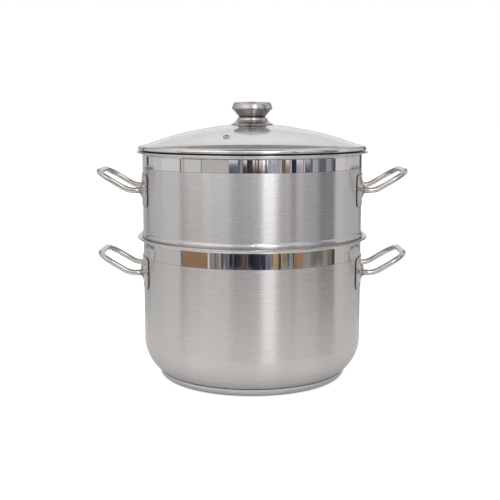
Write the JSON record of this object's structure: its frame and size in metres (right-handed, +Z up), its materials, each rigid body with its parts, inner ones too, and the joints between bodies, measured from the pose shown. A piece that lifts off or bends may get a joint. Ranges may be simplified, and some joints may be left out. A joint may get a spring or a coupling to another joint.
{
  "type": "steamer pot",
  "caption": "Two-tier stainless stovetop steamer: sandwich-base pot, perforated steamer insert and domed glass lid with a steel knob.",
  "frame": {"origin": "centre of the flat base, on the surface the pot stands on", "axes": "+Z up through the knob; the handles lie along X; +Y points away from the picture's camera"},
  "size_m": [0.42, 0.316, 0.376],
  "materials": {
    "brushed_body": "stainless steel brushed round the body, with a mirror-polished band under each lip",
    "base_steel": "stainless capsule with turned grain",
    "core_aluminium": "plain aluminium",
    "polished_steel": "polished stainless steel",
    "weld_metal": "dull weld bead",
    "lid_glass": "clear tempered glass",
    "eyelet_steel": "plain rolled steel",
    "knob_steel": "spun stainless steel with turned grain",
    "silicone": "translucent white silicone"
  },
  "bodies": {
    "pot": {"pot_shell": "brushed_body", "base_core": "core_aluminium", "base_cap": "base_steel", "pot_left_plate": "polished_steel", "pot_right_plate": "polished_steel", "pot_left_handle": "polished_steel", "pot_right_handle": "polished_steel", "pot_handle_welds": "weld_metal"},
    "steamer": {"steamer_shell": "brushed_body", "steamer_left_plate": "polished_steel", "steamer_right_plate": "polished_steel", "steamer_left_handle": "polished_steel", "steamer_right_handle": "polished_steel", "steamer_handle_welds": "weld_metal"},
    "lid": {"lid_glass": "lid_glass", "lid_band": "polished_steel", "vent_eyelet": "eyelet_steel", "knob_cap": "knob_steel", "knob_cone": "knob_steel", "knob_skirt": "knob_steel", "knob_insert": "core_aluminium", "knob_screw": "eyelet_steel", "screw_washer": "eyelet_steel", "upper_gasket": "silicone", "lower_gasket": "silicone"}
  },
  "joints": [
    {"name": "steamer_lift", "type": "slide", "parent": "pot", "child": "steamer", "axis": [0, 0, 1], "range_m": [0, 0.15]},
    {"name": "lid_lift", "type": "slide", "parent": "steamer", "child": "lid", "axis": [0, 0, 1], "range_m": [0, 0.15]}
  ]
}
